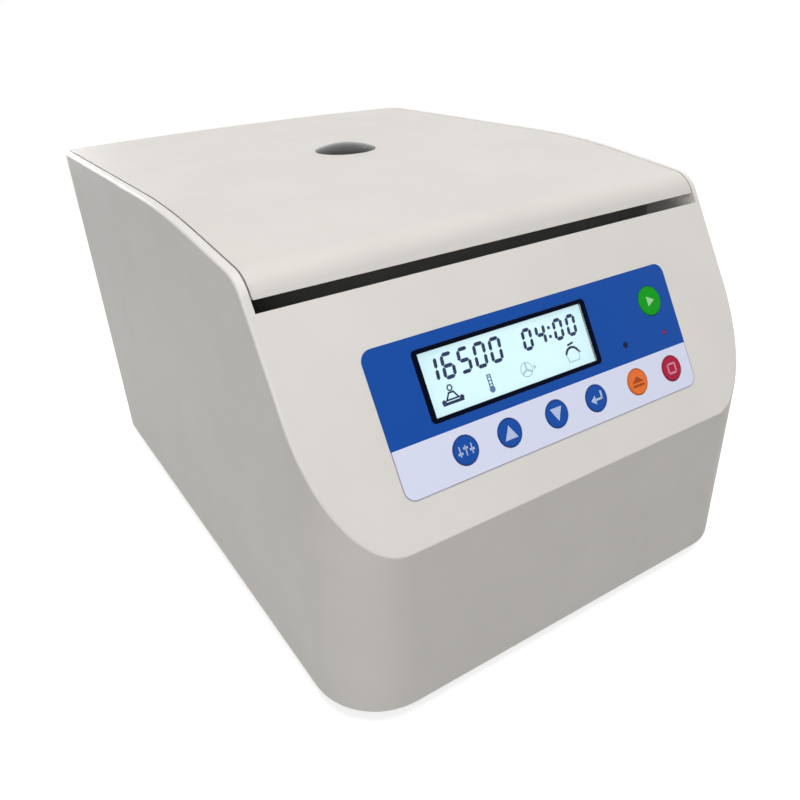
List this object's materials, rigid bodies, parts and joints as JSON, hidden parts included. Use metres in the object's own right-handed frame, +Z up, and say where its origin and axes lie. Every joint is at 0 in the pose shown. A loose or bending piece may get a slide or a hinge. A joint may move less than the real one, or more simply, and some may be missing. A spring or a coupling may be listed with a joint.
{
  "type": "micro-tube centrifuge",
  "caption": "Benchtop centrifuge with a sloped control fascia and a rear-hinged lid over a steel chamber with a fixed-angle tube rotor.",
  "frame": {"origin": "middle of the body at the level of the feet's undersides", "axes": "+Z up, +Y from the operator's side to the back, +X to the operator's right"},
  "size_m": [0.3, 0.4088, 0.2495],
  "materials": {
    "housing_plastic": "fine moulded texture, warm off-white",
    "lid_plastic": "smooth moulded, warm off-white",
    "base_steel": "grey powder coat",
    "screw_steel": "zinc plated",
    "foot_rubber": "moulded",
    "deck_plastic": "moulded",
    "bowl_steel": "spun stainless steel",
    "gasket_rubber": "extruded",
    "post_steel": "turned",
    "plate_aluminium": "laser cut",
    "damper_rubber": "moulded",
    "motor_paint": "black coat",
    "seal_rubber": "moulded",
    "rear_paint": "light grey powder coat",
    "overlay_film": "printed polyester film",
    "lcd_bezel": "gloss",
    "lcd_lens": "clear, thin",
    "lcd_cell": "backlit",
    "board_laminate": "solder mask",
    "switch_plastic": "moulded",
    "led_lens": "clear red",
    "heatsink_aluminium": "extruded",
    "fan_plastic": "moulded",
    "inlet_plastic": "moulded",
    "pin_brass": "plated",
    "rocker_plastic": "moulded",
    "bracket_steel": "zinc plated sheet",
    "arm_plastic": "glass filled nylon",
    "pin_steel": "ground",
    "lock_plastic": "moulded",
    "liner_plastic": "vacuum formed",
    "port_polycarbonate": "smoked clear polycarbonate",
    "rotor_aluminium": "anodised",
    "nut_aluminium": "blue anodised",
    "key_blue": "printed dome",
    "key_orange": "printed dome",
    "key_red": "printed dome",
    "key_green": "printed dome"
  },
  "bodies": {
    "housing": {"housing_shell": "housing_plastic", "base_plate": "base_steel", "case_screws": "screw_steel", "rubber_feet": "foot_rubber", "foot_screws": "screw_steel", "deck_panel": "deck_plastic", "deck_screws": "screw_steel", "chamber_bowl": "bowl_steel", "chamber_gasket": "gasket_rubber", "mount_posts": "post_steel", "motor_plate": "plate_aluminium", "motor_dampers": "damper_rubber", "motor_body": "motor_paint", "shaft_seal": "seal_rubber", "rear_panel": "rear_paint", "membrane_overlay": "overlay_film", "lcd_frame": "lcd_bezel", "lcd_window": "lcd_lens", "lcd_panel": "lcd_cell", "display_board": "board_laminate", "key_switches": "switch_plastic", "status_leds": "led_lens", "drive_board": "board_laminate", "heatsink": "heatsink_aluminium", "fan_frame": "fan_plastic", "power_inlet": "inlet_plastic", "inlet_pins": "pin_brass", "fuse_drawer": "inlet_plastic", "switch_bezel": "inlet_plastic", "hinge_bracket_left": "bracket_steel", "hinge_bracket_right": "bracket_steel", "hinge_pins": "pin_steel", "lock_body": "lock_plastic"},
    "lid": {"lid_shell": "lid_plastic", "lid_liner": "liner_plastic", "port_window": "port_polycarbonate", "port_sleeve": "liner_plastic", "lid_catch": "bracket_steel", "hinge_arm_left": "arm_plastic", "hinge_arm_right": "arm_plastic", "lid_screws": "screw_steel"},
    "rotor": {"rotor_body": "rotor_aluminium", "motor_shaft": "pin_steel", "rotor_nut": "nut_aluminium"},
    "bolt": {"latch_bolt": "pin_steel"},
    "key_set": {"key_set": "key_blue"},
    "key_up": {"key_up": "key_blue"},
    "key_down": {"key_down": "key_blue"},
    "key_enter": {"key_enter": "key_blue"},
    "key_open": {"key_open": "key_orange"},
    "key_stop": {"key_stop": "key_red"},
    "key_start": {"key_start": "key_green"},
    "rocker": {"power_rocker": "rocker_plastic"},
    "fan": {"fan_rotor": "fan_plastic"}
  },
  "joints": [
    {"name": "lid_hinge", "type": "hinge", "parent": "housing", "child": "lid", "pos_m": [0, 0.1864, 0.226], "axis": [-1, 0, 0], "range_deg": [0, 75]},
    {"name": "rotor_spin", "type": "hinge", "parent": "housing", "child": "rotor", "pos_m": [0, 0.0336, 0.15], "axis": [0, 0, 1], "continuous": true},
    {"name": "latch_slide", "type": "slide", "parent": "housing", "child": "bolt", "axis": [0, -1, 0], "range_m": [0, 0.008], "stiffness_N_per_m": 80},
    {"name": "power_tilt", "type": "hinge", "parent": "housing", "child": "rocker", "pos_m": [0.078, 0.1988, 0.09], "axis": [1, 0, 0], "range_deg": [0, 16]},
    {"name": "fan_spin", "type": "hinge", "parent": "housing", "child": "fan", "pos_m": [-0.066, 0.1893, 0.072], "axis": [0, 1, 0], "continuous": true},
    {"name": "key_set_press", "type": "slide", "parent": "housing", "child": "key_set", "axis": [0, 0.8616, -0.5075], "range_m": [0, 0.0005], "stiffness_N_per_m": 800},
    {"name": "key_up_press", "type": "slide", "parent": "housing", "child": "key_up", "axis": [0, 0.8616, -0.5075], "range_m": [0, 0.0005], "stiffness_N_per_m": 800},
    {"name": "key_down_press", "type": "slide", "parent": "housing", "child": "key_down", "axis": [0, 0.8616, -0.5075], "range_m": [0, 0.0005], "stiffness_N_per_m": 800},
    {"name": "key_enter_press", "type": "slide", "parent": "housing", "child": "key_enter", "axis": [0, 0.8616, -0.5075], "range_m": [0, 0.0005], "stiffness_N_per_m": 800},
    {"name": "key_open_press", "type": "slide", "parent": "housing", "child": "key_open", "axis": [0, 0.8616, -0.5075], "range_m": [0, 0.0005], "stiffness_N_per_m": 800},
    {"name": "key_stop_press", "type": "slide", "parent": "housing", "child": "key_stop", "axis": [0, 0.8616, -0.5075], "range_m": [0, 0.0005], "stiffness_N_per_m": 800},
    {"name": "key_start_press", "type": "slide", "parent": "housing", "child": "key_start", "axis": [0, 0.8616, -0.5075], "range_m": [0, 0.0005], "stiffness_N_per_m": 800}
  ]
}
